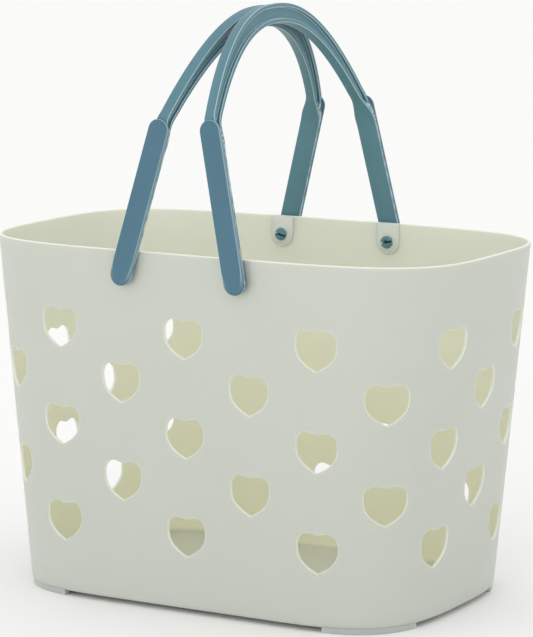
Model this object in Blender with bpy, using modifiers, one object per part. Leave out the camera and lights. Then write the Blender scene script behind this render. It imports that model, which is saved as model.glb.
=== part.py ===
"""Shower caddy: an oval plastic tub with heart-shaped drain holes and two hinged bail handles.

Metres, +Z up. The origin is on the floor under the middle of the tub. X runs along the long walls, and
the handles hinge on axes along Y. Each handle is one bail (a grip arch with two strap legs), two leg
covers with round ends, and two split studs that snap through the long walls.
"""

import math

import bmesh
import bpy
from mathutils import Matrix, Vector

MM = 0.001
CUT_PAST = 5 * MM  # how far a cutter runs past the face that it cuts
WELD = 1e-6
SCREW_MERGE = 1e-5
ARC_STEPS = 10
SHARP_ANGLE = math.radians(30)

# Tub: outer plan at the rim and at the base, half sizes and superellipse exponents along X and Y
RIM_HALF = (160 * MM, 95 * MM)
RIM_CURVE = (4.6, 3.6)
BASE_HALF = (138 * MM, 89.5 * MM)
BASE_CURVE = (6.5, 3.0)
RIM_HEIGHT = 218 * MM
BASE_HEIGHT = 3 * MM
FLOOR_TOP = 5 * MM
WALL = 2 * MM
BASE_EDGE = 1.2 * MM
PLAN_POINTS = 80
PLAN_STEPS = 720

# Feet: four flat arcs that follow the corners
FOOT_SPAN = (90 * MM, 152 * MM)
FOOT_INSET = (0.7 * MM, 5.2 * MM)
FOOT_POINTS = 8

# Drain hearts: staggered columns round the wall
HEART_ROWS = 5
HEART_TOP_ROW = 167.5 * MM
HEART_ROW_PITCH = 30 * MM
LONG_WALL_STEP = 44 * MM
HEART_HALF_WIDTH = 12.7 * MM
HEART_LOBE = 6.2 * MM
HEART_SHOULDER = 5 * MM
HEART_TOP = 12 * MM
HEART_NOTCH = 1.4 * MM
HEART_SHOULDER_TURNS = (math.radians(48), math.radians(90))
HEART_SIDE_SHARES = (0.5, 0.8)
HEART_CUT = 16 * MM

# Pivots
PIVOT_X = 38.4 * MM
PIVOT_Z = 206 * MM
PIVOT_HOLE = 3.1 * MM
HOLE_SIDES = 16
PAD_RADIUS = 8 * MM
PAD_THICK = 0.8 * MM
RING_RADIUS = 6.2 * MM
RING_HEIGHT = 0.5 * MM
RING_SIDES = 24
LEFT_TILT = math.radians(15.3)
RIGHT_TILT = math.radians(12.3)

# Legs: a strap and its cover, leaning in towards the grip
GAP = 0.3 * MM
LEG_FACE = 97.8 * MM
LEG_LEAN = math.atan(0.067)
LEG_LENGTH = 87.3 * MM
LEG_TIP = 2.1 * MM
LEG_RADIUS = 6.7 * MM
STRAP_THICK = 1.8 * MM
COVER_THICK = 1.8 * MM
NECK_FOOT = 80 * MM
NECK_TOP = 90 * MM
NECK_STEPS = 5
STUD_BORE = 2.9 * MM

# Grip arch, in the handle's plane: distances along Y and up from the pivot
GRIP_TOP = 157 * MM
GRIP_RISE = 60.8 * MM
GRIP_HALF = 92.5 * MM
GRIP_POWER = 2.3
INNER_TOP = 145.1 * MM
INNER_RISE = 52.1 * MM
INNER_HALF = 84.8 * MM
INNER_POWER = 2.2
RECESS_FOOT = 92 * MM
GRIP_FOOT = 81 * MM
GRIP_TUCK = 0.2 * MM
GRIP_WIDTH = 6.7 * MM
GRIP_FLANGE = 2.5 * MM
GRIP_WEB = 2.7 * MM
GRIP_TURN_BACK = math.radians(2.35)
GRIP_POINTS = 24
KNUCKLE = 97 * MM

# Split stud: radius and distance in from the leg's inner face, tip first
STUD_PROFILE = (
    (0, 9),
    (2.7, 9),
    (3.7, 8.3),
    (4, 7.3),
    (2.6, 7),
    (2.6, 2.4),
    (5.4, 2.4),
    (5.4, 0.85),
    (2.5, 0.85),
    (2.5, -1.5),
    (0, -1.5),
)
STUD_SIDES = 20
STUD_SLOT = 1.3 * MM
STUD_SLOT_DEPTH = 5.4 * MM


# ---------------------------------------------------------------- scene and objects


def clear_scene():
    for item in list(bpy.data.objects):
        bpy.data.objects.remove(item, do_unlink=True)


def new_collection(name):
    found = bpy.data.collections.new(name)
    bpy.context.scene.collection.children.link(found)
    return found


def new_material(name, colour, roughness):
    material = bpy.data.materials.new(name)
    material.use_nodes = True
    shader = material.node_tree.nodes["Principled BSDF"]
    shader.inputs["Base Color"].default_value = (*colour, 1)
    shader.inputs["Roughness"].default_value = roughness
    shader.inputs["Metallic"].default_value = 0
    material.diffuse_color = (*colour, 1)
    return material


def mesh_object(name, mesh, collection, material=None):
    made = bpy.data.objects.new(name, mesh)
    collection.objects.link(made)
    if material:
        mesh.materials.clear()
        mesh.materials.append(material)
    return made


def as_cutter(made):
    made.hide_render = True
    made.display_type = "WIRE"
    return made


def evaluated_mesh(made):
    """The object's mesh with its modifiers applied, welded and with its normals facing out."""
    bpy.context.view_layer.update()
    graph = bpy.context.evaluated_depsgraph_get()
    mesh = bpy.data.meshes.new_from_object(made.evaluated_get(graph))
    work = bmesh.new()
    work.from_mesh(mesh)
    bmesh.ops.remove_doubles(work, verts=work.verts, dist=WELD)
    bmesh.ops.recalc_face_normals(work, faces=work.faces)
    work.to_mesh(mesh)
    work.free()
    return mesh


def plate_mesh(outline, thickness, frame):
    """A flat outline given a thickness about its own plane, then carried to a frame."""
    curve = bpy.data.curves.new("outline", "CURVE")
    curve.dimensions = "2D"
    curve.fill_mode = "BOTH"
    curve.extrude = thickness / 2
    spline = curve.splines.new("POLY")
    spline.points.add(len(outline) - 1)
    for point, (x, y) in zip(spline.points, outline):
        point.co = (x, y, 0, 1)
    spline.use_cyclic_u = True
    holder = bpy.data.objects.new("outline", curve)
    bpy.context.scene.collection.objects.link(holder)
    mesh = evaluated_mesh(holder)
    bpy.data.objects.remove(holder, do_unlink=True)
    mesh.transform(frame)
    return mesh


def joined(meshes):
    """Several meshes as one, each still its own closed body."""
    work = bmesh.new()
    for mesh in meshes:
        work.from_mesh(mesh)
    mesh = bpy.data.meshes.new("joined")
    work.to_mesh(mesh)
    work.free()
    return mesh


def boolean(made, other, operation):
    step = made.modifiers.new(f"{operation.lower()} {other.name}", "BOOLEAN")
    step.operation = operation
    step.solver = "EXACT"
    step.object = other


def frame_of(x_axis, y_axis, origin):
    """The matrix whose columns are the two axes given, their cross product, and the origin."""
    first, second = Vector(x_axis), Vector(y_axis)
    third = first.cross(second)
    turn = Matrix((first, second, third)).transposed().to_4x4()
    return Matrix.Translation(origin) @ turn


# ---------------------------------------------------------------- tub


def wall_size(height):
    """Half sizes and exponents of the outer plan, in line between the base's and the rim's."""
    share = (height - BASE_HEIGHT) / (RIM_HEIGHT - BASE_HEIGHT)
    half = [low + (high - low) * share for low, high in zip(BASE_HALF, RIM_HALF)]
    curve = [low + (high - low) * share for low, high in zip(BASE_CURVE, RIM_CURVE)]
    return half, curve


def plan_curve(height):
    """A fine outline of the outer wall at one height, from the middle of the front, anticlockwise."""
    half, curve = wall_size(height)
    points = []
    for step in range(PLAN_STEPS):
        angle = 2 * math.pi * step / PLAN_STEPS
        across, along = math.sin(angle), -math.cos(angle)
        x = math.copysign(abs(across) ** (2 / curve[0]), across) * half[0]
        y = math.copysign(abs(along) ** (2 / curve[1]), along) * half[1]
        points.append(Vector((x, y)))
    return points


def walk(points, stations):
    """Points at these distances along a closed outline, each with its outward normal."""
    ends = points[1:] + points[:1]
    lengths = [(b - a).length for a, b in zip(points, ends)]
    whole = sum(lengths)
    found = []
    for station in stations:
        left = station % whole
        index = 0
        while left > lengths[index]:
            left -= lengths[index]
            index += 1
        step = (ends[index] - points[index]) / lengths[index]
        found.append((points[index] + step * left, Vector((step.y, -step.x))))
    return found


def plan_length(height):
    points = plan_curve(height)
    return sum((b - a).length for a, b in zip(points, points[1:] + points[:1]))


def ring(height, inset):
    """Evenly spaced points of the wall's plan at one height, moved in along their normals."""
    whole = plan_length(height)
    stations = [whole * i / PLAN_POINTS for i in range(PLAN_POINTS)]
    placed = walk(plan_curve(height), stations)
    return [(*(point - normal * inset), height) for point, normal in placed]


def loft_mesh(rings):
    """A closed body through rings of equal point counts, with flat ends."""
    work = bmesh.new()
    rows = [[work.verts.new(point) for point in points] for points in rings]
    for low, high in zip(rows, rows[1:]):
        for i in range(len(low)):
            j = (i + 1) % len(low)
            work.faces.new((low[i], low[j], high[j], high[i]))
    work.faces.new(rows[0])
    work.faces.new(rows[-1])
    bmesh.ops.recalc_face_normals(work, faces=work.faces)
    mesh = bpy.data.meshes.new("loft")
    work.to_mesh(mesh)
    work.free()
    return mesh


def heart_outline():
    """Each half has a shallow dip, a quarter-round shoulder, and a side that falls as a cubic."""
    side = [(HEART_LOBE / 2, HEART_TOP - HEART_NOTCH / 2), (HEART_LOBE, HEART_TOP)]
    for angle in HEART_SHOULDER_TURNS:
        across = HEART_LOBE + (HEART_HALF_WIDTH - HEART_LOBE) * math.sin(angle)
        up = HEART_SHOULDER + (HEART_TOP - HEART_SHOULDER) * math.cos(angle)
        side.append((across, up))
    fall = HEART_SHOULDER + HEART_TOP
    for share in HEART_SIDE_SHARES:
        side.append((HEART_HALF_WIDTH * (1 - share**3), HEART_SHOULDER - fall * share))
    notch, tip = (0, HEART_TOP - HEART_NOTCH), (0, -HEART_TOP)
    other = [(-x, y) for x, y in reversed(side)]
    return [notch, *side, tip, *other][::-1]


def heart_columns():
    """(place, normal) of each half step round the tub, on the plan of the middle row."""
    middle = HEART_TOP_ROW - HEART_ROW_PITCH * (HEART_ROWS - 1) / 2
    quarter = plan_length(middle) / 4
    turn_step = (quarter - 2 * LONG_WALL_STEP) / 3
    first = [LONG_WALL_STEP * i for i in range(3)]
    first += [2 * LONG_WALL_STEP + turn_step * i for i in (1, 2)]
    half = first + [quarter] + [2 * quarter - s for s in first[:0:-1]]
    stations = half + [2 * quarter + s for s in half]
    return walk(plan_curve(middle), stations)


def heart_cutters():
    """Hearts on every second column, the next row on the columns between."""
    outline = heart_outline()
    meshes = []
    for row in range(HEART_ROWS):
        height = HEART_TOP_ROW - row * HEART_ROW_PITCH
        for place, normal in heart_columns()[row % 2 :: 2]:
            across = (-normal.y, normal.x, 0)
            frame = frame_of(across, (0, 0, 1), (*place, height))
            meshes.append(plate_mesh(outline, HEART_CUT, frame))
    return joined(meshes)


def pivot_places():
    """(x, which way is out) of each pivot in the long walls."""
    return [(x, out) for x in (-PIVOT_X, PIVOT_X) for out in (-1, 1)]


def wall_at_pivot():
    """How far out the outer wall is at the pivots."""
    half, curve = wall_size(PIVOT_Z)
    return half[1] * (1 - (PIVOT_X / half[0]) ** curve[0]) ** (1 / curve[1])


def pivot_disc(x, out, radius, low, high, sides):
    """A round body on a pivot axis, between two distances from the tub's middle plane."""
    work = bmesh.new()
    bmesh.ops.create_cone(
        work, cap_ends=True, segments=sides, radius1=radius, radius2=radius, depth=high - low
    )
    mesh = bpy.data.meshes.new("disc")
    work.to_mesh(mesh)
    work.free()
    turn = Matrix.Rotation(math.radians(90), 4, "X")
    mesh.transform(Matrix.Translation((x, out * (low + high) / 2, PIVOT_Z)) @ turn)
    return mesh


def pad_mesh(x, out):
    """A U-shaped pad on the inner wall, from the rim down round a pivot."""
    arc = [math.pi + math.pi * i / ARC_STEPS for i in range(ARC_STEPS + 1)]
    outline = [(PAD_RADIUS * math.cos(a), PAD_RADIUS * math.sin(a)) for a in arc]
    rise = RIM_HEIGHT - PIVOT_Z
    outline += [(PAD_RADIUS, rise), (-PAD_RADIUS, rise)]
    draft = (RIM_HALF[1] - BASE_HALF[1]) / (RIM_HEIGHT - BASE_HEIGHT)
    up = Vector((0, out * draft, 1)).normalized()
    depth = PAD_THICK + WALL / 2
    origin = (x, out * (wall_at_pivot() - WALL / 2 - depth / 2), PIVOT_Z)
    mesh = plate_mesh(outline, depth, frame_of((1, 0, 0), up, origin))
    for vert in mesh.vertices:
        vert.co.z = min(vert.co.z, RIM_HEIGHT)
    return mesh


def foot_mesh(mirror_x, mirror_y):
    """One corner foot: a flat strip between two insets of the base plan."""
    curve = plan_curve(BASE_HEIGHT)
    low, high = FOOT_SPAN
    stations = [low + (high - low) * i / FOOT_POINTS for i in range(FOOT_POINTS + 1)]
    placed = walk(curve, stations)
    outer = [point - normal * FOOT_INSET[0] for point, normal in placed]
    inner = [point - normal * FOOT_INSET[1] for point, normal in reversed(placed)]
    outline = [(x * mirror_x, y * mirror_y) for x, y in outer + inner]
    depth = BASE_HEIGHT + WALL / 2
    return plate_mesh(outline, depth, Matrix.Translation((0, 0, depth / 2)))


def make_tub(parts, cutters, material):
    """Outer loft less its hollow, then pads, collars and feet added, and pivot holes and hearts cut."""
    edge = BASE_EDGE
    outer = [ring(BASE_HEIGHT, edge), ring(BASE_HEIGHT + edge, 0), ring(RIM_HEIGHT, 0)]
    tub = mesh_object("tub", loft_mesh(outer), parts, material)
    above = RIM_HEIGHT + CUT_PAST
    inner = [ring(FLOOR_TOP, WALL + edge), ring(FLOOR_TOP + edge, WALL), ring(above, WALL)]
    hollow = mesh_object("tub_hollow", loft_mesh(inner), cutters)
    boolean(tub, as_cutter(hollow), "DIFFERENCE")

    pads = [pad_mesh(x, out) for x, out in pivot_places()]
    boolean(tub, as_cutter(mesh_object("tub_pads", joined(pads), cutters)), "UNION")

    face = wall_at_pivot()
    ring_face = face - WALL - PAD_THICK - RING_HEIGHT
    rings = [
        pivot_disc(x, out, RING_RADIUS, ring_face, face - WALL, RING_SIDES)
        for x, out in pivot_places()
    ]
    boolean(tub, as_cutter(mesh_object("tub_rings", joined(rings), cutters)), "UNION")

    feet = [foot_mesh(mx, my) for mx in (-1, 1) for my in (-1, 1)]
    boolean(tub, as_cutter(mesh_object("tub_feet", joined(feet), cutters)), "UNION")

    holes = [
        pivot_disc(x, out, PIVOT_HOLE, ring_face - CUT_PAST, face + CUT_PAST, HOLE_SIDES)
        for x, out in pivot_places()
    ]
    boolean(tub, as_cutter(mesh_object("pivot_holes", joined(holes), cutters)), "DIFFERENCE")
    hearts = mesh_object("drain_hearts", heart_cutters(), cutters)
    boolean(tub, as_cutter(hearts), "DIFFERENCE")
    return tub


# ---------------------------------------------------------------- handles
# A handle is made upright in its own frame: the pivot axis is Y, Z runs up the handle, and +X is the
# side that faces the other handle.


def arch_edge(top, rise, half, power, foot, rim):
    """(y, z) along an arch whose drop from its top grows as a power of the distance from its middle.

    The arch ends at the height of the foot, and every point is moved up along its normal by rim. Low
    down it keeps inside the straps' outer faces."""
    reach = half * ((top - foot) / rise) ** (1 / power)
    points = []
    for i in range(GRIP_POINTS + 1):
        y = reach * math.sin(math.pi / 2 * (2 * i / GRIP_POINTS - 1))
        drop = rise * (abs(y) / half) ** power
        slope = -math.copysign(rise * power / half * (abs(y) / half) ** (power - 1), y)
        steep = math.hypot(1, slope)
        across, height = y - rim * slope / steep, top - drop + rim / steep
        strap = LEG_FACE + STRAP_THICK - GRIP_TUCK - height * math.tan(LEG_LEAN)
        points.append((math.copysign(min(abs(across), strap), across), height))
    return points


def arch_outline(flange, foot):
    """The outline between the arch's outer and inner edges, both moved in by a flange."""
    outer = arch_edge(GRIP_TOP, GRIP_RISE, GRIP_HALF, GRIP_POWER, foot, -flange)
    inner = arch_edge(INNER_TOP, INNER_RISE, INNER_HALF, INNER_POWER, foot, flange)
    return outer[::-1] + inner


def grip_frame():
    """The grip's plane: the legs' plane turned back a little about the knuckles."""
    back = Matrix.Translation((0, 0, KNUCKLE))
    turn = Matrix.Rotation(-GRIP_TURN_BACK, 4, "Y")
    plane = frame_of((0, 1, 0), (0, 0, 1), (0, 0, 0))
    return back @ turn @ Matrix.Translation((0, 0, -KNUCKLE)) @ plane


def leg_frame(offset):
    """The front leg's plane: X across, Y up the leg, at this distance out from its inner face."""
    up = (0, math.sin(LEG_LEAN), math.cos(LEG_LEAN))
    out = Vector((0, -math.cos(LEG_LEAN), math.sin(LEG_LEAN)))
    origin = Vector((0, -LEG_FACE, 0)) + out * offset
    return frame_of((1, 0, 0), up, origin)


def half_round(radius, height, way):
    """(x, y) along a half circle that faces up (way 1) or down (way -1), anticlockwise."""
    turns = [math.pi * i / ARC_STEPS for i in range(ARC_STEPS + 1)]
    return [(way * radius * math.cos(a), height + way * radius * math.sin(a)) for a in turns]


def round_ended(radius):
    """A strip with half-round ends, from a little below the pivot to the knuckle."""
    return half_round(radius, -LEG_TIP, -1) + half_round(radius, LEG_LENGTH, 1)


def strap_outline():
    """Round at the pivot, and drawn in to the grip's width behind the top of the cover."""
    right = []
    left = []
    for step in range(NECK_STEPS + 1):
        share = step / NECK_STEPS
        ease = (1 - math.cos(math.pi * share)) / 2
        half = LEG_RADIUS + (GRIP_WIDTH / 2 - LEG_RADIUS) * ease
        height = NECK_FOOT + (NECK_TOP - NECK_FOOT) * share
        right.append((half, height))
        left.append((-half, height))
    return half_round(LEG_RADIUS, -LEG_TIP, -1) + right + left[::-1]


def both_ends(mesh):
    """The mesh and its copy at the other leg, half a turn about Z away."""
    other = mesh.copy()
    other.transform(Matrix.Rotation(math.pi, 4, "Z"))
    return [mesh, other]


def bail_mesh(cutters):
    """Grip arch and strap legs as one moulding, with the web sunk in on both sides."""
    blank = plate_mesh(arch_outline(0, GRIP_FOOT), GRIP_WIDTH, grip_frame())
    bail = as_cutter(mesh_object("bail_blank", blank, cutters))

    strap = plate_mesh(strap_outline(), STRAP_THICK, leg_frame(STRAP_THICK / 2))
    straps = mesh_object("bail_straps", joined(both_ends(strap)), cutters)
    boolean(bail, as_cutter(straps), "UNION")

    room = COVER_THICK + CUT_PAST
    seat = plate_mesh(round_ended(LEG_RADIUS + GAP), room, leg_frame(STRAP_THICK + room / 2))
    seats = mesh_object("cover_seats", joined(both_ends(seat)), cutters)
    boolean(bail, as_cutter(seats), "DIFFERENCE")

    sink = arch_outline(GRIP_FLANGE, RECESS_FOOT)
    depth = (GRIP_WIDTH - GRIP_WEB) / 2 + CUT_PAST
    sunk = []
    for side in (-1, 1):
        offset = side * (GRIP_WEB + depth) / 2
        sunk.append(plate_mesh(sink, depth, grip_frame() @ Matrix.Translation((0, 0, offset))))
    recesses = mesh_object("grip_recesses", joined(sunk), cutters)
    boolean(bail, as_cutter(recesses), "DIFFERENCE")

    bores = []
    for out in (-1, 1):
        bore = pivot_disc(
            0, out, STUD_BORE, LEG_FACE - CUT_PAST, LEG_FACE + CUT_PAST, STUD_SIDES
        )
        bore.transform(Matrix.Translation((0, 0, -PIVOT_Z)))
        bores.append(bore)
    boolean(bail, as_cutter(mesh_object("strap_bores", joined(bores), cutters)), "DIFFERENCE")
    return evaluated_mesh(bail)


def cover_mesh():
    """The outer plate of a leg, a gap out from its strap."""
    offset = STRAP_THICK + GAP + COVER_THICK / 2
    return plate_mesh(round_ended(LEG_RADIUS), COVER_THICK, leg_frame(offset))


def stud_mesh(cutters):
    """A turned stud with a barbed head, split across by a slot, lying along +Y at the front leg."""
    work = bmesh.new()
    verts = [work.verts.new((radius * MM, 0, along * MM)) for radius, along in STUD_PROFILE]
    for a, b in zip(verts, verts[1:]):
        work.edges.new((a, b))
    profile = bpy.data.meshes.new("stud_profile")
    work.to_mesh(profile)
    work.free()
    stud = as_cutter(mesh_object("stud_blank", profile, cutters))
    screw = stud.modifiers.new("turn", "SCREW")
    screw.axis = "Z"
    screw.steps = STUD_SIDES
    screw.render_steps = STUD_SIDES
    screw.use_merge_vertices = True
    screw.merge_threshold = SCREW_MERGE
    turned = evaluated_mesh(stud)
    bpy.data.objects.remove(stud, do_unlink=True)

    stud = as_cutter(mesh_object("stud_blank", turned, cutters))
    low = STUD_PROFILE[0][1] * MM - STUD_SLOT_DEPTH
    high = STUD_PROFILE[0][1] * MM + CUT_PAST
    corners = [(-CUT_PAST, low), (CUT_PAST, low), (CUT_PAST, high), (-CUT_PAST, high)]
    slot = plate_mesh(corners, STUD_SLOT, frame_of((1, 0, 0), (0, 0, 1), (0, 0, 0)))
    boolean(stud, as_cutter(mesh_object("stud_slot", slot, cutters)), "DIFFERENCE")
    mesh = evaluated_mesh(stud)
    lie = Matrix.Rotation(math.radians(-90), 4, "X")
    mesh.transform(Matrix.Translation((0, -LEG_FACE, 0)) @ lie)
    return mesh


def make_handle(side, x, turn, tilt, meshes, parts, material):
    """One handle about an empty on its pivot axis: the bail, two covers and two studs."""
    pivot = bpy.data.objects.new(f"{side}_handle_pivot", None)
    pivot.location = (x, 0, PIVOT_Z)
    pivot.rotation_euler = (0, tilt, turn)
    parts.objects.link(pivot)
    bail, cover, stud = meshes
    pieces = [(f"{side}_handle_bail", bail, 0)]
    for end, about in (("front", turn), ("rear", math.pi - turn)):
        pieces.append((f"{side}_{end}_leg_cover", cover, about))
        pieces.append((f"{side}_{end}_pivot_stud", stud, about))
    for name, mesh, about in pieces:
        piece = mesh_object(name, mesh, parts, material)
        piece.parent = pivot
        piece.rotation_euler = (0, 0, about)


def main():
    clear_scene()
    parts = new_collection("shower_caddy")
    cutters = new_collection("cutters")
    cream = new_material("cream_polypropylene", (0.55, 0.57, 0.50), 0.45)
    teal = new_material("teal_polypropylene", (0.10, 0.21, 0.28), 0.4)
    make_tub(parts, cutters, cream)
    meshes = (bail_mesh(cutters), cover_mesh(), stud_mesh(cutters))
    for mesh in meshes:
        mesh.shade_smooth()
        mesh.set_sharp_from_angle(angle=SHARP_ANGLE)
    make_handle("left", -PIVOT_X, 0, LEFT_TILT, meshes, parts, teal)
    make_handle("right", PIVOT_X, math.pi, RIGHT_TILT, meshes, parts, teal)


main()
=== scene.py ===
"""Shower caddy: the looks of a moulded plastic tub with heart-shaped drain holes and two bail handles.

Metres, +Z up, X along the long walls. The sizes are those of the solid model. The tub is worked out on
its own coordinates: turn (quarters of the way round, from the middle of the front), height, and depth
into the wall. A handle is worked out in its own frame: X faces the other handle, Y is the pivot's axis
and Z runs up the handle.
"""

import math

import bmesh
import bpy
import numpy as np
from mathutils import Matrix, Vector


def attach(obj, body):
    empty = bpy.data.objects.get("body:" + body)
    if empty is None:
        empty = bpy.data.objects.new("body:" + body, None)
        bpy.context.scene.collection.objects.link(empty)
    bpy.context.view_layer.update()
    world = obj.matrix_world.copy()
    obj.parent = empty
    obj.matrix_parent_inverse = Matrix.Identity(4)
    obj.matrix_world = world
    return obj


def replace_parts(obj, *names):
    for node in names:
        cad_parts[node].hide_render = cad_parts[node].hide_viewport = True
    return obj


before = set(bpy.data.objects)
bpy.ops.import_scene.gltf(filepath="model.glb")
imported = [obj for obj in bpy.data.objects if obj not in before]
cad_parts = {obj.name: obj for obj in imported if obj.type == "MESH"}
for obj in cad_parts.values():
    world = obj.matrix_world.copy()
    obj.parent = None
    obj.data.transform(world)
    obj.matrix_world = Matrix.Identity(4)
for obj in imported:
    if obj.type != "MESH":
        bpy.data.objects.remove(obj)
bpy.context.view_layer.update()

MM = 0.001
WELD = 2e-6
TINY = 1e-9

# Newton's method round the wall
SOLVE_ROUNDS = 14
SOLVE_NUDGE = 1e-5
SOLVE_LEAST_SLOPE = 0.02
SOLVE_MOST_MOVE = 0.1

# Tub
RIM_HALF = (160 * MM, 95 * MM)
RIM_CURVE = (4.6, 3.6)
BASE_HALF = (138 * MM, 89.5 * MM)
BASE_CURVE = (6.5, 3.0)
RIM_HEIGHT = 218 * MM
BASE_HEIGHT = 3 * MM
FLOOR_TOP = 5 * MM
WALL = 2 * MM
RIM_ROUND = 0.9 * MM
BASE_ROUND = 2.2 * MM
FLOOR_ROUND = 3 * MM
SPLIT = 16  # grid lines from one heart column to the next
CELL_RISE = 8  # grid steps up a cell that holds a hole
FILLET_STEPS = 4
RIM_STEPS = 5
CELL_SHARES = (0, 0.12, 0.3, 0.6, 1)  # rings from a hole's edge to its cell's border
DISC_SHARES = (1, 0.97, 0.9, 0.75, 0.55, 0.35, 0.15, 0)  # rings from the wall to the middle
LIP_PAINTED_HIGHLIGHT = 0.45  # how far a hole's lip goes towards a lighter colour: a painted highlight
OUTLINE_STEPS = 4001

# Feet
FOOT_SPAN = (90 * MM, 152 * MM)
FOOT_INSET = (0.7 * MM, 5.2 * MM)
FOOT_ROUND = 0.5 * MM
FOOT_STEPS = 41

# Hearts
HEART_ROWS = 5
HEART_TOP_ROW = 167.5 * MM
HEART_PITCH = 30 * MM
LONG_WALL_STEP = 44 * MM
HEART_HALF_WIDTH = 12.7 * MM
HEART_LOBE = 6.2 * MM
HEART_SHOULDER = 5 * MM
HEART_TOP = 12 * MM
HEART_NOTCH = 1.4 * MM
HEART_LIP = 0.6 * MM
HEART_POINTS = (40, 60, 120)  # along half the dip, a lobe and a side

# Pivots
PIVOT_X = 38.4 * MM
PIVOT_Z = 206 * MM
PIVOT_HOLE = 3.1 * MM
PIVOT_CELL = 8.5 * MM
PIVOT_LINES = (10, 18)  # grid lines from the wall's middle to each side of a pivot
PAD_RADIUS = 8 * MM
PAD_THICK = 0.8 * MM
PAD_ROUND = 0.35 * MM
PAD_BELOW_RIM = 0.3 * MM
PAD_SIDES = 72
COLLAR_RADIUS = 6.2 * MM
COLLAR_HEIGHT = 0.5 * MM
PAD_TURN = 0.11  # about how far round the wall a pivot is from the wall's middle

# Handles
LEFT_TILT = math.radians(15.3)
RIGHT_TILT = math.radians(12.3)
GAP = 0.3 * MM
LEG_FACE = 97.8 * MM
LEG_SLOPE = 0.067
LEG_LENGTH = 87.3 * MM
LEG_TIP = 2.1 * MM
LEG_RADIUS = 6.7 * MM
STRAP_THICK = 1.8 * MM
COVER_THICK = 1.8 * MM
COVER_ROUND = 0.55 * MM
COVER_DOME = 16 * MM
COVER_DOME_WIDE = 3.6 * MM
COVER_DOME_DEEP = 1.3 * MM
COVER_FACE_RINGS = (4.6 * MM, 6.7 * MM)
COVER_HIGHLIGHT_RINGS = slice(4, 10)  # the rings of the rounded edge, but for its last two: these carry the painted highlight
BASE_LIP = 0.2 * MM
NECK_FOOT = 79 * MM
NECK_TOP = 96 * MM
KNUCKLE_SWEEP = 6 * MM
GRIP_TOP = 157 * MM
GRIP_RISE = 60.8 * MM
GRIP_HALF = 92.5 * MM
GRIP_POWER = 2.3
INNER_TOP = 145.1 * MM
INNER_RISE = 52.1 * MM
INNER_HALF = 84.8 * MM
INNER_POWER = 2.2
GRIP_FOOT = 76 * MM
RECESS_FOOT = 88.3 * MM
RECESS_RUN_IN = 2 * MM
GRIP_WIDTH = 6.7 * MM
GRIP_FLANGE = 2.5 * MM
FLANGE_SHARE = 0.27  # the most of the grip's thickness that one flange takes
GRIP_WEB = 2.2 * MM
GRIP_TURN_BACK = math.radians(2.35)
KNUCKLE = 97 * MM
KNUCKLE_REACH = 5 * MM  # how far each way from the knuckle the grip's turn back is spread
BAIL_ROUND = 0.45 * MM

# Studs: radius and distance in from the leg's inner face, tip first
STUD_PROFILE = (
    (0, 9),
    (2.1, 9),
    (2.75, 8.9),
    (3.5, 8.45),
    (3.85, 8.05),
    (4, 7.7),
    (4, 7.35),
    (3.8, 7.1),
    (2.6, 7),
    (2.6, 2.4),
    (5.2, 2.4),
    (5.4, 2.2),
    (5.4, 0.85),
    (2.5, 0.85),
    (2.5, -1.5),
    (0, -1.5),
)
STUD_SLOT = 1.3 * MM
STUD_SLOT_FOOT = 3.6 * MM
STUD_SIDES = 40

# Patterns, as noise scales: one over a size in metres
TUB_CLOUD = 14.0  # shades about 70 mm across
TUB_GRAIN = 900.0  # specks about 1 mm across, coarser than the mould's so that they show
HANDLE_CLOUD = 55.0  # sink marks about 18 mm across
HANDLE_GRAIN = 1100.0  # specks about 1 mm across

# Stage
FLOOR_HALF = 14
KEY_PLACE = (0.3, -2.3, 0.75)
KEY_AIM = (0, 0, 0.2)
KEY_SIZE = 0.9
KEY_WATTS = 6
CAMERA_PLACE = (0.92698, -1.61099, 0.46747)
CAMERA_AIM = (0.00298, 0, 0.16701)
CAMERA_LENS = 173.16
CAMERA_SENSOR = 36
CAMERA_REACH = 20


# ---------------------------------------------------------------- meshes


def grid_faces(rows, columns, wrap_columns, wrap_rows=False):
    """Quads between the neighbours of a grid of points, as indexes."""
    down = np.arange(rows if wrap_rows else rows - 1)
    along = np.arange(columns if wrap_columns else columns - 1)
    i, j = np.meshgrid(down, along, indexing="ij")
    next_i, next_j = (i + 1) % rows, (j + 1) % columns
    corners = (i * columns + j, i * columns + next_j, next_i * columns + next_j)
    return np.stack((*corners, next_i * columns + j), -1).reshape(-1, 4)


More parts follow.
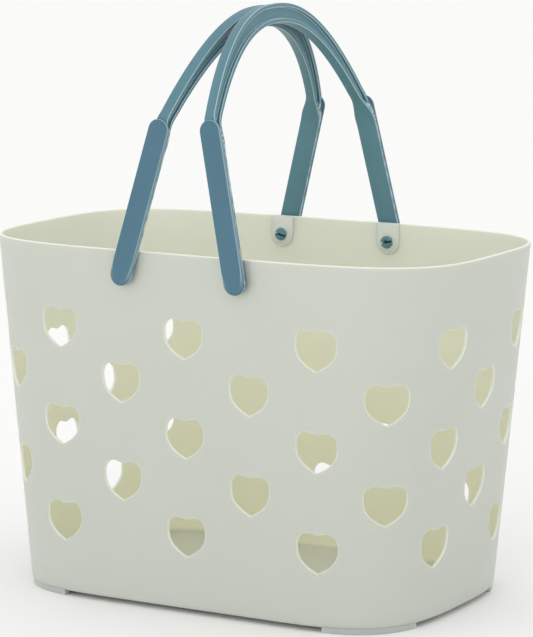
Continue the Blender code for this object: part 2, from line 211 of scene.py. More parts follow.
class Shell:
    """Grids of points gathered into one mesh, with a number for each point in each of its attributes."""

    def __init__(self, *attributes):
        self.points = []
        self.faces = []
        self.values = {name: [] for name in attributes}
        self.count = 0

    def add(self, points, wrap=False, wrap_rows=False, **values):
        """Takes in a grid of points, closed round its columns or rows, and its attributes' numbers."""
        rows, columns = points.shape[:2]
        self.faces.append(grid_faces(rows, columns, wrap, wrap_rows) + self.count)
        self.points.append(points.reshape(-1, 3))
        for name, store in self.values.items():
            store.append(np.broadcast_to(values.get(name, 0.0), (rows, columns)).ravel())
        self.count += rows * columns

    def piece(self, name, body, material, sharp=35):
        """Makes the mesh, welds its seams and poles, and turns its faces outwards."""
        points, faces = np.concatenate(self.points), np.concatenate(self.faces)
        mesh = bpy.data.meshes.new(name)
        mesh.from_pydata(points.tolist(), [], faces.tolist())
        for attribute, store in self.values.items():
            layer = mesh.attributes.new(attribute, "FLOAT", "POINT")
            layer.data.foreach_set("value", np.concatenate(store).astype(np.float32))
        work = bmesh.new()
        work.from_mesh(mesh)
        bmesh.ops.remove_doubles(work, verts=work.verts, dist=WELD)
        bmesh.ops.dissolve_degenerate(work, edges=work.edges, dist=WELD)
        bmesh.ops.recalc_face_normals(work, faces=work.faces)
        work.to_mesh(mesh)
        work.free()
        mesh.shade_smooth()
        mesh.set_sharp_from_angle(angle=math.radians(sharp))
        mesh.materials.append(material)
        made = bpy.data.objects.new(name, mesh)
        bpy.context.scene.collection.objects.link(made)
        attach(made, body)
        return made


def ease(share):
    """A smooth rise from 0 to 1 as half a cosine wave, held at both ends."""
    return (1 - np.cos(np.pi * np.clip(share, 0, 1))) / 2


def quarter_arc(steps=FILLET_STEPS):
    """(1 - sine, 1 - cosine) along a quarter circle: how far a fillet is from each of its two faces."""
    angle = np.linspace(0, np.pi / 2, steps + 1)
    return 1 - np.sin(angle), 1 - np.cos(angle)


# ---------------------------------------------------------------- tub


def wall_size(height):
    """Half sizes and exponents of the outer plan, in line between the base's and the rim's."""
    share = (height - BASE_HEIGHT) / (RIM_HEIGHT - BASE_HEIGHT)
    pairs = zip(BASE_HALF + BASE_CURVE, RIM_HALF + RIM_CURVE)
    return [low + (high - low) * share for low, high in pairs]


def wall_point(turn, height, depth):
    """Points of the wall: the outline |x/a|^n + |y/b|^m = 1 at each height, moved in along its normal.

    With s the way round from the nearest long wall's middle to the nearest end's, the angle p is
    s^(n/2) / (s^(n/2) + (1-s)^(m/2)) of a right angle, x is a sin(p)^(2/n) and y is b cos(p)^(2/m)."""
    turn, height, depth = np.broadcast_arrays(turn, height, depth)
    a, b, n, m = wall_size(height)
    s = np.abs((turn + 1) % 2 - 1)
    side_x = np.where(turn % 4 < 2, 1, -1)
    side_y = np.where((turn + 1) % 4 < 2, -1, 1)
    angle = np.pi / 2 * s ** (n / 2) / (s ** (n / 2) + (1 - s) ** (m / 2))
    x_share = np.sin(angle) ** (2 / n)
    y_share = np.abs(np.cos(angle)) ** (2 / m)
    normal_x = n / a * x_share ** (n - 1)
    normal_y = m / b * y_share ** (m - 1)
    size = np.hypot(normal_x, normal_y)
    x = side_x * (a * x_share - normal_x / size * depth)
    y = side_y * (b * y_share - normal_y / size * depth)
    return np.stack((x, y, height), -1)


def turn_across(place, across, distance, height, depth, start):
    """The turn at which the wall is this distance across from a place, by Newton's method."""
    turn = np.broadcast_arrays(start + 0.0, distance, height, depth)[0].copy()
    for _ in range(SOLVE_ROUNDS):
        here = ((wall_point(turn, height, depth)[..., :2] - place) * across).sum(-1)
        ahead = wall_point(turn + SOLVE_NUDGE, height, depth)[..., :2]
        ahead = ((ahead - place) * across).sum(-1)
        slope = np.maximum((ahead - here) / SOLVE_NUDGE, SOLVE_LEAST_SLOPE)
        move = (here - distance) / slope
        turn = turn - np.clip(move, -SOLVE_MOST_MOVE, SOLVE_MOST_MOVE)
    return turn


def heart_columns():
    """Place, direction across and turn of each half step of hearts, on the middle row's outline."""
    middle = HEART_TOP_ROW - HEART_PITCH * (HEART_ROWS - 1) / 2
    turns = np.linspace(0, 1, OUTLINE_STEPS)
    outline = wall_point(turns, middle, 0)
    lengths = np.hypot(*np.diff(outline[:, :2], axis=0).T)
    stations = np.concatenate(([0], np.cumsum(lengths)))
    quarter = stations[-1]
    step = (quarter - 2 * LONG_WALL_STEP) / 3
    first = np.array([0, 1, 2, 2, 2]) * LONG_WALL_STEP + np.array([0, 0, 0, 1, 2]) * step
    first = np.interp(first, stations, turns)
    half = np.concatenate((first, [1], 2 - first[:0:-1]))
    turns = np.concatenate((half, half + 2))
    place = wall_point(turns, middle, 0)[:, :2]
    out = place - wall_point(turns, middle, MM)[:, :2]
    out /= np.hypot(out[:, :1], out[:, 1:])
    return place, np.stack((-out[:, 1], out[:, 0]), -1), turns


COLUMN_PLACE, COLUMN_ACROSS, COLUMN_TURN = heart_columns()
COLUMNS = len(COLUMN_TURN)
LINES = COLUMNS * SPLIT


def line_turn(line, height):
    """The turn of each grid line at each height. Lines crowd a little towards each heart column."""
    line, height = np.broadcast_arrays(line, height)
    column, step = line // SPLIT, (line % SPLIT) / SPLIT
    share = (step + ease(step)) / 2
    ends = []
    for near in (column, column + 1):
        wrapped, rounds = near % COLUMNS, near // COLUMNS
        start = COLUMN_TURN[wrapped]
        found = turn_across(COLUMN_PLACE[wrapped], COLUMN_ACROSS[wrapped], 0, height, 0, start)
        ends.append(found + 4 * rounds)
    return ends[0] + (ends[1] - ends[0]) * share


def cell_border(lines, low, high):
    """Grid lines and heights round the border of a cell, up its right side first."""
    rise = np.linspace(low, high, CELL_RISE + 1)
    across = np.arange(lines[0], lines[1] + 1)
    line = [
        np.full(CELL_RISE, lines[1]), across[:0:-1], np.full(CELL_RISE, lines[0]), across[:-1]
    ]
    height = [
        rise[:-1], np.full(len(across) - 1, high), rise[:0:-1], np.full(len(across) - 1, low)
    ]
    return np.concatenate(line), np.concatenate(height)


def heart_edge():
    """Half a heart, from its notch to its tip, then the other half.

    The lobe is a cosine wave up from the notch, a quarter ellipse out to the widest point, and a side
    whose half width falls as 1 - s cubed."""
    dip_points, lobe_points, side_points = HEART_POINTS
    dip = np.linspace(0, 1, dip_points)[:-1]
    bend = np.linspace(0, np.pi / 2, lobe_points)[:-1]
    side = np.linspace(0, 1, side_points)
    reach = HEART_HALF_WIDTH - HEART_LOBE
    x = (HEART_LOBE * dip, HEART_LOBE + reach * np.sin(bend), HEART_HALF_WIDTH * (1 - side**3))
    y = (
        HEART_TOP - HEART_NOTCH * (1 + np.cos(np.pi * dip)) / 2,
        HEART_SHOULDER + (HEART_TOP - HEART_SHOULDER) * np.cos(bend),
        HEART_SHOULDER - (HEART_SHOULDER + HEART_TOP) * side,
    )
    half = np.stack((np.concatenate(x), np.concatenate(y)), -1)
    return np.concatenate((half, half[-2:0:-1] * (-1, 1)))


def round_edge():
    """A pivot's round hole, from its top."""
    angle = np.linspace(0, 2 * np.pi, 240, endpoint=False)
    return PIVOT_HOLE * np.stack((np.sin(angle), np.cos(angle)), -1)


def edge_at(edge, angle):
    """Points of a closed outline in these directions from its middle, and its normals there."""
    ahead, behind = np.roll(edge, -1, 0), np.roll(edge, 1, 0)
    along = (ahead - behind) / np.hypot(*(ahead - behind).T)[:, None]
    normal = np.stack((-along[:, 1], along[:, 0]), -1)
    direction = np.arctan2(edge[:, 0], edge[:, 1])
    table = [np.interp(angle, *period_sorted(direction, v)) for v in (*edge.T, *normal.T)]
    found = np.stack(table, -1)
    size = np.hypot(found[:, 2], found[:, 3])[:, None]
    return found[:, :2], found[:, 2:] / size


def period_sorted(direction, value):
    """A table over one turn, in order and carried past both of its ends."""
    order = np.argsort(direction)
    d, v = direction[order], value[order]
    turn = 2 * np.pi
    return np.concatenate((d - turn, d, d + turn)), np.concatenate((v, v, v))


def pierced_cell(tub, lines, low, high, place, across, middle, edge, lip):
    """A cell of the wall round a hole: outer face, rounded lip, through the wall, and inner face.

    The hole runs straight through along the wall's normal at its column. Rings run from the cell's
    border to the hole's edge and out again, as straight blends of turn and height."""
    line, height = cell_border(lines, low, high)
    border_turn = line_turn(line, height)
    border = wall_point(border_turn, height, 0)
    from_middle = ((border[:, :2] - place) * across).sum(-1)
    angle = np.arctan2(from_middle, height - middle)
    edge_point, edge_normal = edge_at(edge, angle)

    outward, inward = quarter_arc()
    offsets = np.concatenate((outward * lip, inward * lip))
    depths = np.concatenate((inward * lip, WALL - outward * lip))
    at = edge_point[None] + edge_normal[None] * offsets[:, None, None]
    rise = middle + at[..., 1]
    turn = turn_across(place, across, at[..., 0], rise, depths[:, None], border_turn.mean())
    ring = wall_point(turn, rise, depths[:, None])
    # Painted highlight: the lip is mixed towards a lighter colour, most where it meets the hole.
    painted_highlight = LIP_PAINTED_HIGHLIGHT * (1 - offsets / lip)
    tub.add(ring, True, inside=(depths / WALL)[:, None], lip=painted_highlight[:, None])

    share = np.array(CELL_SHARES)[:, None]
    for depth, near in ((0, 0), (WALL, -1)):
        mix_turn = turn[near] + (border_turn - turn[near]) * share
        mix_rise = rise[near] + (height - rise[near]) * share
        face = wall_point(mix_turn, mix_rise, depth)
        tub.add(face, True, inside=depth / WALL)


def wall_band(tub, heights, depths, lines=None, **values):
    """A plain band of the wall through these heights and depths, all the way round or between lines."""
    line = np.arange(LINES) if lines is None else np.arange(lines[0], lines[1] + 1)
    turn = line_turn(line[None], heights[:, None])
    points = wall_point(turn, heights[:, None], depths[:, None])
    tub.add(points, lines is None, **values)


def flat_disc(tub, height, depth, **values):
    """A flat plate that closes the wall's outline: its rings shrink evenly to the middle."""
    edge = wall_point(line_turn(np.arange(LINES), height), height, depth)
    share = np.array(DISC_SHARES)[:, None, None]
    rings = edge[None] * share
    rings[..., 2] = height
    tub.add(rings, True, **values)


def make_tub(material):
    """The shell: plain bands below and above the hearts, pierced cells between, rim, base and floor."""
    tub = Shell("inside", "lip")
    for row in range(HEART_ROWS):
        middle = HEART_TOP_ROW - HEART_PITCH * row
        low, high = middle - HEART_PITCH / 2, middle + HEART_PITCH / 2
        for column in range(row % 2, COLUMNS, 2):
            lines = ((column - 1) * SPLIT, (column + 1) * SPLIT)
            place, across = COLUMN_PLACE[column], COLUMN_ACROSS[column]
            pierced_cell(tub, lines, low, high, place, across, middle, heart_edge(), HEART_LIP)

    bottom = HEART_TOP_ROW - HEART_PITCH * (HEART_ROWS - 0.5)
    top = HEART_TOP_ROW + HEART_PITCH / 2
    pivot_low, pivot_high = PIVOT_Z - PIVOT_CELL, PIVOT_Z + PIVOT_CELL
    upper = np.array([top, (top + pivot_low) / 2, pivot_low])
    outward, inward = quarter_arc(RIM_STEPS)
    for depth in (0, WALL):
        wall_band(tub, upper, np.full(3, depth), inside=depth / WALL)

    near, far = PIVOT_LINES
    rise = np.linspace(pivot_low, pivot_high, CELL_RISE + 1)
    half = LINES // 2
    spans = [(-near, near), (far, half - far), (half - near, half + near), (half + far, LINES - far)]
    for lines in spans:
        for depth in (0, WALL):
            wall_band(tub, rise, np.full(len(rise), depth), lines, inside=depth / WALL)
    for middle_line, side in ((0, -1), (half, 1)):
        for way in (-1, 1):
            lines = sorted((middle_line + way * near, middle_line + way * far))
            x = -side * way * PIVOT_X
            place, across = np.array((x, 0)), np.array((-side, 0))
            pierced_cell(
                tub, lines, pivot_low, pivot_high, place, across, PIVOT_Z, round_edge(), GAP
            )

    rim_low = RIM_HEIGHT - RIM_ROUND
    heights = np.concatenate(
        ([pivot_high], rim_low + RIM_ROUND * (1 - outward), rim_low + RIM_ROUND * (1 - outward[::-1]),
         [pivot_high])
    )
    depths = np.concatenate(([0], RIM_ROUND * inward, WALL - RIM_ROUND * inward[::-1], [WALL]))
    # Painted highlight: the rim's rounded top is mixed towards a lighter colour.
    painted_highlight = ease((heights - rim_low) / RIM_ROUND)
    wall_band(tub, heights, depths, inside=(depths / WALL)[:, None], lip=painted_highlight[:, None])

    heights = np.concatenate(
        (np.linspace(bottom, BASE_HEIGHT + BASE_ROUND, 5)[:-1], BASE_HEIGHT + BASE_ROUND * outward)
    )
    depths = np.concatenate((np.zeros(4), BASE_ROUND * inward))
    wall_band(tub, heights, depths)
    flat_disc(tub, BASE_HEIGHT, BASE_ROUND)
    heights = np.concatenate(
        (np.linspace(bottom, FLOOR_TOP + FLOOR_ROUND, 5)[:-1], FLOOR_TOP + FLOOR_ROUND * outward)
    )
    depths = WALL + np.concatenate((np.zeros(4), FLOOR_ROUND * inward))
    wall_band(tub, heights, depths, inside=1)
    flat_disc(tub, FLOOR_TOP, WALL + FLOOR_ROUND, inside=1)

    made = tub.piece("tub_shell", "tub", material)
    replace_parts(made, "tub")


def pad_edge(angle, inset):
    """How far the pad's edge is in each direction from the pivot: round below, square-topped above."""
    half, rise = PAD_RADIUS - inset, RIM_HEIGHT - PAD_BELOW_RIM - PIVOT_Z - inset
    across = np.maximum(np.abs(np.sin(angle)), TINY)
    up = np.maximum(np.cos(angle), TINY)
    return np.where(np.cos(angle) < 0, half, np.minimum(half / across, rise / up))


def make_pads(material):
    """A pad and collar round each pivot inside the wall, each ring of it at its own radius and depth."""
    pads = Shell("inside", "lip")
    angle = np.linspace(0, 2 * np.pi, PAD_SIDES, endpoint=False)
    outward, inward = quarter_arc(3)
    hole, collar = np.full_like(angle, PIVOT_HOLE), np.full_like(angle, COLLAR_RADIUS)
    small = PAD_ROUND
    back, face = WALL / 2, WALL + PAD_THICK
    front = face + COLLAR_HEIGHT
    rings = [(hole, back)]
    rings += [(hole + small * b, front - small * a) for a, b in zip(outward, inward)]
    rings += [(collar - small * a, front - small * b) for a, b in zip(outward, inward)]
    rings += [(collar + small * b, face + small * a) for a, b in zip(outward, inward)]
    rings += [(pad_edge(angle, small * a), face - small * b) for a, b in zip(outward, inward)]
    rings += [(pad_edge(angle, 0), back)]
    radius = np.stack([r for r, _ in rings])
    depth = np.array([d for _, d in rings])[:, None]
    for side in (-1, 1):
        for way in (-1, 1):
            place, across = np.array((way * PIVOT_X, 0)), np.array((-side, 0))
            height = PIVOT_Z + radius * np.cos(angle)
            start = (0 if side < 0 else 2) - side * way * PAD_TURN
            turn = turn_across(place, across, radius * np.sin(angle), height, depth, start)
            points = wall_point(turn, height, depth)
            # Painted light: the whole pad takes the lighter lip colour, a painted highlight that
            # brightens it.
            pads.add(points, True, True, inside=1, lip=1)
    pads.piece("pivot_pads", "tub", material)


def make_feet(material):
    """Four corner feet: a rounded strip section carried along the base's outline."""
    feet = Shell("inside", "lip")
    turns = np.linspace(0, 1, 2001)
    outline = wall_point(turns, BASE_HEIGHT, 0)
    stations = np.concatenate(([0], np.cumsum(np.hypot(*np.diff(outline[:, :2], axis=0).T))))
    outward, inward = quarter_arc(3)
    low, high = FOOT_INSET
    r = FOOT_ROUND
    depth = np.concatenate(([low], low + r * inward, high - r * inward[::-1], [high]))
    rise = np.concatenate(([BASE_HEIGHT + MM], r * outward, r * outward[::-1], [BASE_HEIGHT + MM]))
    along = np.linspace(*FOOT_SPAN, FOOT_STEPS)
    along = np.concatenate((along[:1], along, along[-1:]))
    turn = np.interp(along, stations, turns)
    middle = (low + high) / 2
    for start, way in ((0, 1), (2, -1), (2, 1), (4, -1)):
        depths = np.broadcast_to(depth, (len(along), len(depth))).copy()
        depths[[0, -1]] = middle
        points = wall_point((start + way * turn)[:, None], BASE_HEIGHT, depths)
        points[..., 2] = rise
        feet.add(points, True)
    feet.piece("corner_feet", "tub", material)


# ---------------------------------------------------------------- handles


def handle_place(points, x, tilt, turned):
    """Carries points from a handle's frame to the caddy's. A turned handle faces the other way."""
    out = np.empty_like(points)
    way = -1 if turned else 1
    out[..., 0] = x + way * (points[..., 0] * math.cos(tilt) + points[..., 2] * math.sin(tilt))
    out[..., 1] = way * points[..., 1]
    out[..., 2] = PIVOT_Z - points[..., 0] * math.sin(tilt) + points[..., 2] * math.cos(tilt)
    return out


def arch_rail(top, rise, half, power, turn):
    """An edge of the grip from its foot to its top: height falls from the top as |y| to a power."""
    reach = half * ((top - GRIP_FOOT) / rise) ** (1 / power)
    y = reach * np.cos(turn)
    height = top - rise * (y / half) ** power
    slope = rise * power / half * (y / half) ** (power - 1)
    steep = np.hypot(1, slope)
    return np.stack((y, height), -1), np.stack((slope / steep, 1 / steep), -1)


def soft_least(a, b, reach):
    """The lesser of two lengths, eased where they are nearer than reach: less reach/4 times the square
    of the share of reach that is left."""
    near = np.maximum(reach - np.abs(a - b), 0) / reach
    return np.minimum(a, b) - reach / 4 * near**2


def bail_rails():
    """Stations from a leg's tip to the grip's top: inner and outer edges, their flange lines, widths."""
    tip = -LEG_TIP - LEG_RADIUS * np.cos(np.linspace(0, np.pi / 2, 13))[:-1]
    straight = np.linspace(-LEG_TIP, GRIP_FOOT, 24)[:-1]
    up = np.concatenate((tip, straight))
    leg_in = np.stack((LEG_FACE - LEG_SLOPE * up, up), -1)
    leg_out = leg_in + (STRAP_THICK, 0)
    sideways = np.broadcast_to((1.0, 0.0), leg_in.shape)

    turn = np.linspace(0, np.pi / 2, 73)
    inner, inner_normal = arch_rail(INNER_TOP, INNER_RISE, INNER_HALF, INNER_POWER, turn)
    outer, outer_normal = arch_rail(GRIP_TOP, GRIP_RISE, GRIP_HALF, GRIP_POWER, turn)
    inner[:, 0] = soft_least(inner[:, 0], LEG_FACE - LEG_SLOPE * inner[:, 1], KNUCKLE_SWEEP)
    strap_face = LEG_FACE - LEG_SLOPE * outer[:, 1] + STRAP_THICK
    outer[:, 0] = np.minimum(outer[:, 0], strap_face)

    inner = np.concatenate((leg_in, inner))
    outer = np.concatenate((leg_out, outer))
    inner_normal = np.concatenate((sideways, inner_normal))
    outer_normal = np.concatenate((sideways, outer_normal))
    thick = np.hypot(*(outer - inner).T)
    flange = np.minimum(GRIP_FLANGE, FLANGE_SHARE * thick)[:, None]
    middle = (inner[:, 1] + outer[:, 1]) / 2
    neck = ease((middle - NECK_FOOT) / (NECK_TOP - NECK_FOOT))
    width = LEG_RADIUS + (GRIP_WIDTH / 2 - LEG_RADIUS) * neck
    width[: len(tip)] = np.sqrt(np.maximum(LEG_RADIUS**2 - (tip + LEG_TIP) ** 2, 0))
    sunk = ease((middle - RECESS_FOOT) / RECESS_RUN_IN)
    web = width + (GRIP_WEB / 2 - width) * sunk
    rails = (inner, inner + inner_normal * flange, outer - outer_normal * flange, outer)
    return rails, width, web


def rounded_loop(corners, radius, steps=3):
    """Each corner of each loop as a quarter arc that starts and ends a radius back from it."""
    back = np.roll(corners, 1, 1) - corners
    ahead = np.roll(corners, -1, 1) - corners
    back_size = np.linalg.norm(back, axis=-1, keepdims=True)
    ahead_size = np.linalg.norm(ahead, axis=-1, keepdims=True)
    radius = np.minimum(radius, 0.48 * np.minimum(back_size, ahead_size))
    back, ahead = back / np.maximum(back_size, TINY), ahead / np.maximum(ahead_size, TINY)
    outward, inward = quarter_arc(steps)
    arc = [corners + radius * (back * a + ahead * b) for a, b in zip(outward, inward)]
    # Marks the arcs' inner points for the painted highlight on rounded edges.
    edge = np.tile([0] + [1] * (steps - 1) + [0], corners.shape[1])
    return np.stack(arc, 2).reshape(len(corners), -1, 3), edge


def bail_points():
    """The whole bail as one skin: a flat strap section that narrows and deepens into an I section."""
    rails, width, web = bail_rails()
    inner, inner_flange, outer_flange, outer = rails
    order = (
        (inner, -width), (inner, width), (inner_flange, width), (inner_flange, web),
        (outer_flange, web), (outer_flange, width), (outer, width), (outer, -width),
        (outer_flange, -width), (outer_flange, -web), (inner_flange, -web), (inner_flange, -width),
    )
    corners = np.stack(
        [np.stack((across, rail[:, 0], rail[:, 1]), -1) for rail, across in order], 1
    )
    rear, edge = rounded_loop(corners, BAIL_ROUND)
    front = rear[-2::-1] * (1, -1, 1)
    points = np.concatenate((rear, front))
    share = (points[..., 2] - KNUCKLE + KNUCKLE_REACH) / (2 * KNUCKLE_REACH)
    back = -GRIP_TURN_BACK * ease(share)
    x, up = points[..., 0], points[..., 2] - KNUCKLE
    points[..., 0] = x * np.cos(back) + up * np.sin(back)
    points[..., 2] = up * np.cos(back) - x * np.sin(back) + KNUCKLE
    return points, edge


def leg_point(x, along, out, side):
    """Points of a leg: across it, up it from the pivot, and out from its inner face."""
    steep = math.hypot(1, LEG_SLOPE)
    y = LEG_FACE - (along * LEG_SLOPE - out) / steep
    height = (along + out * LEG_SLOPE) / steep
    return np.stack(np.broadcast_arrays(side * x, side * y, height), -1)


def cover_points(side):
    """A round-ended plate: rings of its outline moved in, at heights that round its face's edge.

    The round is a quarter ellipse, and it is wider and deeper round the lower end."""
    turn = np.linspace(0, np.pi, 33)
    lift = np.linspace(0, 1, 24)[1:-1]
    flat = np.ones_like(lift)
    across = np.concatenate((np.cos(turn), -flat, -np.cos(turn), flat))
    end = np.concatenate((np.sin(turn), 0 * flat, -np.sin(turn), 0 * flat))
    share = np.concatenate((np.ones_like(turn), 1 - lift, np.zeros_like(turn), lift))
    base = share * (LEG_LENGTH + LEG_TIP) - LEG_TIP
    outward, inward = quarter_arc(7)
    low_end = ease(1 - (base + end * LEG_RADIUS + LEG_TIP + LEG_RADIUS) / COVER_DOME)
    wide = COVER_ROUND + (COVER_DOME_WIDE - COVER_ROUND) * low_end
    deep = COVER_ROUND + (COVER_DOME_DEEP - COVER_ROUND) * low_end
    bottom = STRAP_THICK + GAP
    top = bottom + COVER_THICK
    rings = [(np.full_like(base, LEG_RADIUS), np.full_like(base, bottom))]
    rings += [(BASE_LIP * a, bottom + BASE_LIP * b) for a, b in ((1, 0), (0.3, 0.3), (0, 1))]
    rings += [(wide * b, top - deep * a) for a, b in zip(outward, inward)]
    rings += [(np.full_like(base, inset), np.full_like(base, top)) for inset in COVER_FACE_RINGS]
    rows = []
    for inset, out in rings:
        r = LEG_RADIUS - inset
        rows.append(leg_point(across * r, base + end * r, out + 0 * base, side))
    # Painted highlight on the rounded edge's rings, faded out round the lower end.
    edge = np.zeros(len(rings))
    edge[COVER_HIGHLIGHT_RINGS] = 1
    return np.stack(rows), edge[:, None] * (1 - low_end)


def stud_points(side):
    """A turned stud: a solid shank, then two prongs, each the turned shape pressed flat at one side of
    a slot that runs across the leg."""
    radius, inwards = np.array(STUD_PROFILE)[::-1].T * MM
    below = inwards < STUD_SLOT_FOOT
    shank = radius[below][-1]
    low = (np.concatenate((radius[below], [shank, 0])),
           np.concatenate((inwards[below], [STUD_SLOT_FOOT, STUD_SLOT_FOOT])), 0)
    high_radius = np.concatenate(([0, shank], radius[~below]))
    high = np.concatenate(([STUD_SLOT_FOOT - MM] * 2, inwards[~below]))
    angle = np.linspace(0, 2 * np.pi, STUD_SIDES, endpoint=False)
    made = []
    for size, depth, way in (low, (high_radius, high, 1), (high_radius, high, -1)):
        up = np.outer(size, np.sin(angle))
        if way:
            up = way * np.maximum(way * up, STUD_SLOT / 2)
        y = LEG_FACE - np.broadcast_to(depth[:, None], up.shape)
        made.append(np.stack((side * np.outer(size, np.cos(angle)), side * y, up), -1))
    return made


def make_handle(name, x, tilt, turned, material, cover_material):
    """A handle's bail, covers and studs, each in place of its solid."""
    body = f"{name}_handle"
    bail = Shell("edge")
    points, edge = bail_points()
    bail.add(handle_place(points, x, tilt, turned), True, edge=edge)
    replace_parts(bail.piece(f"{name}_bail", body, material), f"{body}_bail")
    for end, side in (("front", -1), ("rear", 1)):
        way = -side if turned else side
        cover = Shell("edge")
        points, edge = cover_points(way)
        cover.add(handle_place(points, x, tilt, turned), True, edge=edge)
        made = cover.piece(f"{name}_{end}_cover", body, cover_material)
        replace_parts(made, f"{name}_{end}_leg_cover")
        stud = Shell("edge")
        for points in stud_points(way):
            stud.add(handle_place(points, x, tilt, turned), True)
        made = stud.piece(f"{name}_{end}_stud", body, material)
        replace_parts(made, f"{name}_{end}_pivot_stud")


# ---------------------------------------------------------------- materials


MIX_A, MIX_B, MIX_RESULT = 6, 7, 2  # a colour Mix node's sockets


def linear(code):
    """An sRGB hex colour as linear red, green, blue and full alpha."""
    parts = [int(code[i : i + 2], 16) / 255 for i in (0, 2, 4)]
    return (*[p / 12.92 if p <= 0.04045 else ((p + 0.055) / 1.055) ** 2.4 for p in parts], 1)


def add_node(tree, kind, links=(), inputs=(), **settings):
    """A node with its settings, its inputs' values, and links given as (input, node, output)."""
    node = tree.nodes.new(kind)
    for name, value in settings.items():
        setattr(node, name, value)
    for name, value in dict(inputs).items():
        node.inputs[name].default_value = value
    for name, other, output in links:
        tree.links.new(other.outputs[output], node.inputs[name])
    return node


def new_material(name):
    """A material with nodes, its tree and its shader."""
    material = bpy.data.materials.new(name)
    material.use_nodes = True
    tree = material.node_tree
    return material, tree, tree.nodes["Principled BSDF"]


def cream_polypropylene():
    """Cream polypropylene, injection moulded: soft satin, lit through a little, with painted light: a
    paler, yellower inner face and painted highlights on rims, hole lips and pads.
    """
    material, tree, shader = new_material("cream_moulded_polypropylene")
    place = add_node(tree, "ShaderNodeTexCoord")
    inside = add_node(tree, "ShaderNodeAttribute", attribute_name="inside")
    lip = add_node(tree, "ShaderNodeAttribute", attribute_name="lip")
    cloud = add_node(
        tree, "ShaderNodeTexNoise", [("Vector", place, "Object")], {"Scale": TUB_CLOUD, "Detail": 2.0}
    )
    grain = add_node(
        tree, "ShaderNodeTexNoise", [("Vector", place, "Object")], {"Scale": TUB_GRAIN, "Detail": 2.0}
    )
    outer = add_node(
        tree, "ShaderNodeMix", [("Factor", cloud, "Fac")],
        {MIX_A: linear("BDC1BC"), MIX_B: linear("B9BDB7")}, data_type="RGBA",
    )
    # Painted light: the inner face is paler and yellower than the outer, and more so lower down,
    # standing in for light let through the walls.
    height = add_node(tree, "ShaderNodeSeparateXYZ", [("Vector", place, "Object")])
    sunk = add_node(
        tree, "ShaderNodeMapRange", [("Value", height, "Z")],
        {"From Min": 0.195, "From Max": 0.14}, interpolation_type="SMOOTHSTEP",
    )
    lining_with_painted_light = add_node(
        tree, "ShaderNodeMix", [("Factor", sunk, "Result")],
        {MIX_A: linear("D0D4C9"), MIX_B: linear("E3E4CF")}, data_type="RGBA",
    )
    inner = add_node(
        tree, "ShaderNodeMix",
        [("Factor", inside, "Fac"), (MIX_A, outer, MIX_RESULT), (MIX_B, lining_with_painted_light, MIX_RESULT)],
        data_type="RGBA",
    )
    # Painted highlight: the lip attribute mixes in a lighter colour at rims, hole lips and pads.
    edge = add_node(
        tree, "ShaderNodeMix", [("Factor", lip, "Fac"), (MIX_A, inner, MIX_RESULT)],
        {MIX_B: linear("EFF3DF")}, data_type="RGBA",
    )
    bump = add_node(
        tree, "ShaderNodeBump", [("Height", grain, "Fac")], {"Strength": 0.06, "Distance": 0.0002}
    )
    rough = add_node(
        tree, "ShaderNodeMapRange", [("Value", cloud, "Fac")], {"To Min": 0.38, "To Max": 0.5}
    )
    tree.links.new(edge.outputs[MIX_RESULT], shader.inputs["Base Color"])
    tree.links.new(rough.outputs["Result"], shader.inputs["Roughness"])
    tree.links.new(bump.outputs["Normal"], shader.inputs["Normal"])
    shader.inputs["IOR"].default_value = 1.49
    shader.inputs["Subsurface Weight"].default_value = 0.6
    shader.inputs["Subsurface Radius"].default_value = (1.0, 0.94, 0.72)
    shader.inputs["Subsurface Scale"].default_value = 0.009
    return material


def teal_polypropylene(name, dark, light, edge_highlight_colour):
    """Teal polypropylene, injection moulded: satin, with faint sink marks that waver the highlights, and
    a painted highlight mixed into rounded edges.
    """
    material, tree, shader = new_material(name)
    place = add_node(tree, "ShaderNodeTexCoord")
    cloud = add_node(
        tree, "ShaderNodeTexNoise", [("Vector", place, "Object")], {"Scale": HANDLE_CLOUD, "Detail": 2.0}
    )
    grain = add_node(
        tree, "ShaderNodeTexNoise", [("Vector", place, "Object")], {"Scale": HANDLE_GRAIN, "Detail": 2.0}
    )
    colour = add_node(
        tree, "ShaderNodeMix", [("Factor", cloud, "Fac")],
        {MIX_A: linear(dark), MIX_B: linear(light)}, data_type="RGBA",
    )
    # Painted highlight: the edge attribute mixes a lighter colour into rounded edges.
    edge = add_node(tree, "ShaderNodeAttribute", attribute_name="edge")
    edge_highlight_mix = add_node(
        tree, "ShaderNodeMix", [("Factor", edge, "Fac"), (MIX_A, colour, MIX_RESULT)],
        {MIX_B: linear(edge_highlight_colour)}, data_type="RGBA",
    )
    sink = add_node(
        tree, "ShaderNodeBump", [("Height", cloud, "Fac")], {"Strength": 0.25, "Distance": 0.001}
    )
    bump = add_node(
        tree, "ShaderNodeBump", [("Height", grain, "Fac"), ("Normal", sink, "Normal")],
        {"Strength": 0.05, "Distance": 0.0002},
    )
    rough = add_node(
        tree, "ShaderNodeMapRange", [("Value", cloud, "Fac")], {"To Min": 0.36, "To Max": 0.48}
    )
    tree.links.new(edge_highlight_mix.outputs[MIX_RESULT], shader.inputs["Base Color"])
    tree.links.new(rough.outputs["Result"], shader.inputs["Roughness"])
    tree.links.new(bump.outputs["Normal"], shader.inputs["Normal"])
    shader.inputs["IOR"].default_value = 1.49
    return material


# ---------------------------------------------------------------- stage, light and camera


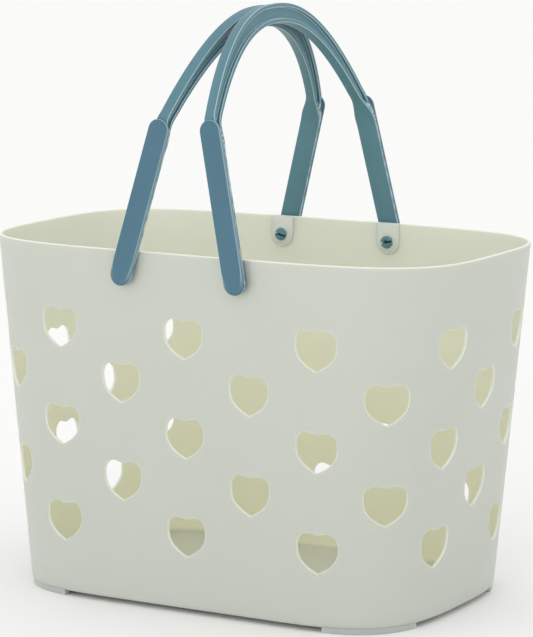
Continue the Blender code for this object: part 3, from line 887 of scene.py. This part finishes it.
def make_stage():
    """A pale floor and white surroundings."""
    mesh = bpy.data.meshes.new("floor")
    half = FLOOR_HALF
    corners = [(-half, -half, 0), (half, -half, 0), (half, half, 0), (-half, half, 0)]
    mesh.from_pydata(corners, [], [(0, 1, 2, 3)])
    floor = bpy.data.objects.new("floor", mesh)
    bpy.context.scene.collection.objects.link(floor)
    material, _, shader = new_material("pale_floor")
    shader.inputs["Base Color"].default_value = linear("FAFAF8")
    shader.inputs["Roughness"].default_value = 0.9
    mesh.materials.append(material)
    world = bpy.data.worlds.new("white_surroundings")
    world.use_nodes = True
    world.node_tree.nodes["Background"].inputs["Color"].default_value = (1, 1, 1, 1)
    world.node_tree.nodes["Background"].inputs["Strength"].default_value = 1
    bpy.context.scene.world = world
    bpy.context.scene.view_settings.view_transform = "Standard"


def add_light(name, place, aim, size, watts):
    """A square soft light that faces a point."""
    data = bpy.data.lights.new(name, "AREA")
    data.shape = "SQUARE"
    data.size = size
    data.energy = watts
    lamp = bpy.data.objects.new(name, data)
    bpy.context.scene.collection.objects.link(lamp)
    lamp.location = place
    lamp.rotation_euler = (Vector(aim) - Vector(place)).to_track_quat("-Z", "Y").to_euler()


def make_camera():
    """The camera, aimed at the middle of the view."""
    data = bpy.data.cameras.new("camera")
    camera = bpy.data.objects.new("camera", data)
    bpy.context.scene.collection.objects.link(camera)
    camera.location = CAMERA_PLACE
    aim = Vector(CAMERA_AIM)
    camera.rotation_euler = (aim - camera.location).to_track_quat("-Z", "Y").to_euler()
    data.lens = CAMERA_LENS
    data.sensor_width = CAMERA_SENSOR
    data.clip_end = CAMERA_REACH
    bpy.context.scene.camera = camera


cream = cream_polypropylene()
# The bail's teal is greener than the covers' and lighter; the extra lightness is painted light that
# lifts the shaded inner faces of the rear legs.
bail_teal = teal_polypropylene("teal_moulded_polypropylene_bail", "4E7A86", "598592", "B6CBD2")
cover_teal = teal_polypropylene("teal_moulded_polypropylene_cover", "3D6679", "4A7387", "86A3AF")
make_tub(cream)
make_pads(cream)
make_feet(cream)
make_handle("left", -PIVOT_X, LEFT_TILT, False, bail_teal, cover_teal)
make_handle("right", PIVOT_X, RIGHT_TILT, True, bail_teal, cover_teal)
make_stage()
add_light("key", KEY_PLACE, KEY_AIM, KEY_SIZE, KEY_WATTS)
make_camera()
